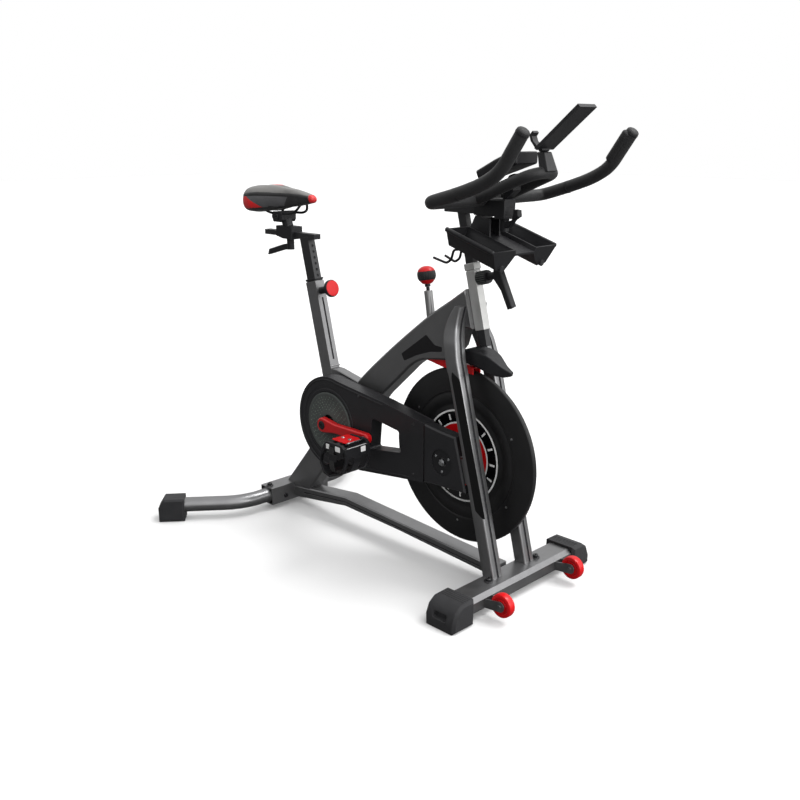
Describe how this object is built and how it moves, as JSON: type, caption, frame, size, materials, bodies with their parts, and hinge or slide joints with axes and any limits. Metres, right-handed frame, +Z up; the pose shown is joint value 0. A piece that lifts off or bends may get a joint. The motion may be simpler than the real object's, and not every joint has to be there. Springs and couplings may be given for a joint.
{
  "type": "indoor spin bike",
  "caption": "Belt-driven indoor exercise bike with a front flywheel, sliding saddle and handlebar, dumbbell rack and tablet shelf.",
  "frame": {"origin": "on the floor, under the centre of the outline", "axes": "+X forward, +Y to the rider's left, +Z up"},
  "size_m": [1.1718, 0.7916, 1.141],
  "materials": {
    "frame_charcoal": "satin metallic charcoal paint",
    "frame_silver": "satin silver paint",
    "cover_black": "satin black moulded plastic",
    "satin_black": "satin black paint",
    "foot_rubber": "matt",
    "grip_foam": "matt, dipped",
    "red_paint": "gloss red",
    "red_plastic": "gloss red",
    "steel": "bright",
    "flywheel_iron": "black, machined rim",
    "badge_plastic": "gloss",
    "cap_grey": "speckled grey",
    "saddle_vinyl": "stitched vinyl over foam",
    "belt_rubber": "matt"
  },
  "bodies": {
    "frame": {"main_frame": "frame_charcoal", "head_tube": "frame_silver", "fork_leg_left": "frame_charcoal", "fork_leg_right": "frame_charcoal", "base_rail": "frame_charcoal", "rear_leg_left": "frame_charcoal", "rear_leg_right": "frame_charcoal", "foot_cap_rear_left": "foot_rubber", "foot_cap_rear_right": "foot_rubber", "front_stabilizer": "frame_charcoal", "foot_cap_front_left": "foot_rubber", "foot_cap_front_right": "foot_rubber", "bolt_front_left": "satin_black", "bolt_front_right": "satin_black", "bolt_rear_left": "satin_black", "bolt_rear_right": "satin_black", "flywheel_axle": "steel", "drive_belt": "belt_rubber", "belt_cover_outer": "cover_black", "belt_cover_inner": "cover_black", "crank_cap": "cap_grey", "hub_cover": "cover_black", "flywheel_fender": "cover_black", "brake_guide_tube": "frame_silver", "seat_bushing": "cover_black", "head_collar": "frame_silver"},
    "crank": {"crank_spindle": "steel", "drive_pulley": "cover_black", "crank_arm_right": "red_paint", "crank_arm_left": "red_paint", "pedal_axle_right": "steel", "pedal_axle_left": "steel"},
    "pedal_right": {"pedal_body_right": "cover_black", "toe_cage_right": "cover_black"},
    "pedal_left": {"pedal_body_left": "cover_black", "toe_cage_left": "cover_black"},
    "flywheel_assembly": {"flywheel": "flywheel_iron", "flywheel_badge_left": "badge_plastic", "flywheel_badge_right": "badge_plastic", "flywheel_hub": "steel"},
    "wheel_left": {"transport_wheel_left": "red_plastic"},
    "wheel_right": {"transport_wheel_right": "red_plastic"},
    "brake": {"brake_rod": "steel"},
    "brake_knob": {"resistance_knob": "red_plastic"},
    "brake_carrier": {"magnet_carrier": "red_paint"},
    "seat_height_post": {"seat_post": "satin_black"},
    "seat_top": {"seat_carriage": "satin_black", "saddle_rails": "steel", "saddle": "saddle_vinyl"},
    "seat_clamp_lever": {"seat_lever": "satin_black"},
    "seat_pin_knob": {"seat_pin": "red_plastic"},
    "bar_height_post": {"handlebar_post": "satin_black", "dumbbell_rack": "cover_black", "wire_hook": "satin_black"},
    "bar": {"handlebar": "grip_foam", "console": "cover_black"},
    "tablet": {"tablet_holder": "satin_black"},
    "bar_height_lever": {"height_lever": "satin_black"},
    "bar_reach_lever": {"foreaft_lever": "satin_black"}
  },
  "joints": [
    {"name": "crank_spin", "type": "hinge", "parent": "frame", "child": "crank", "pos_m": [-0.14857, 0, 0.32], "axis": [0, 1, 0], "continuous": true},
    {"name": "flywheel_spin", "type": "hinge", "parent": "frame", "child": "flywheel_assembly", "pos_m": [0.26943, 0, 0.312], "axis": [0, 1, 0], "continuous": true},
    {"name": "pedal_right_spin", "type": "hinge", "parent": "crank", "child": "pedal_right", "pos_m": [0.02143, 0, 0.32], "axis": [0, 1, 0], "continuous": true},
    {"name": "pedal_left_spin", "type": "hinge", "parent": "crank", "child": "pedal_left", "pos_m": [-0.31857, 0, 0.32], "axis": [0, 1, 0], "continuous": true},
    {"name": "wheel_left_spin", "type": "hinge", "parent": "frame", "child": "wheel_left", "pos_m": [0.51843, 0.137, 0.044], "axis": [0, 1, 0], "continuous": true},
    {"name": "wheel_right_spin", "type": "hinge", "parent": "frame", "child": "wheel_right", "pos_m": [0.51843, -0.137, 0.044], "axis": [0, 1, 0], "continuous": true},
    {"name": "seat_height", "type": "slide", "parent": "frame", "child": "seat_height_post", "axis": [-0.2419, 0, 0.9703], "range_m": [-0.055, 0.1]},
    {"name": "seat_foreaft", "type": "slide", "parent": "seat_height_post", "child": "seat_top", "axis": [1, 0, 0], "range_m": [-0.05, 0.025]},
    {"name": "seat_lever_turn", "type": "hinge", "parent": "seat_top", "child": "seat_clamp_lever", "pos_m": [-0.39557, 0, 0.78], "axis": [0, 0, 1], "range_deg": [-90, 90]},
    {"name": "seat_pin_pull", "type": "slide", "parent": "frame", "child": "seat_pin_knob", "axis": [0.9703, 0, 0.2419], "range_m": [0, 0.012]},
    {"name": "handlebar_height", "type": "slide", "parent": "frame", "child": "bar_height_post", "axis": [-0.2419, 0, 0.9703], "range_m": [0, 0.1]},
    {"name": "handlebar_foreaft", "type": "slide", "parent": "bar_height_post", "child": "bar", "axis": [1, 0, 0], "range_m": [-0.035, 0.008]},
    {"name": "height_lever_turn", "type": "hinge", "parent": "frame", "child": "bar_height_lever", "pos_m": [0.29368, 0, 0.755], "axis": [0.9703, 0, 0.2419], "range_deg": [-60, 60]},
    {"name": "foreaft_lever_turn", "type": "hinge", "parent": "bar", "child": "bar_reach_lever", "pos_m": [0.37843, 0, 0.885], "axis": [0, 0, 1], "range_deg": [-30, 30]},
    {"name": "tablet_tilt", "type": "hinge", "parent": "bar", "child": "tablet", "pos_m": [0.47943, 0, 1.051], "axis": [0, 1, 0], "range_deg": [-20, 10]},
    {"name": "brake_push", "type": "slide", "parent": "frame", "child": "brake", "axis": [0.1578, 0, -0.9875], "range_m": [0, 0.008]},
    {"name": "knob_turn", "type": "hinge", "parent": "brake", "child": "brake_knob", "pos_m": [0.14443, 0, 0.711], "axis": [-0.1578, 0, 0.9875], "range_deg": [-720, 720]},
    {"name": "carrier_swing", "type": "hinge", "parent": "frame", "child": "brake_carrier", "pos_m": [0.15543, 0, 0.545], "axis": [0, 1, 0], "range_deg": [0, 2]}
  ],
  "couplings": [
    {"joint": "crank_spin", "follows": "flywheel_spin", "ratio": 0.28},
    {"joint": "carrier_swing", "follows": "brake_push", "rad_per_m": 4.36}
  ]
}
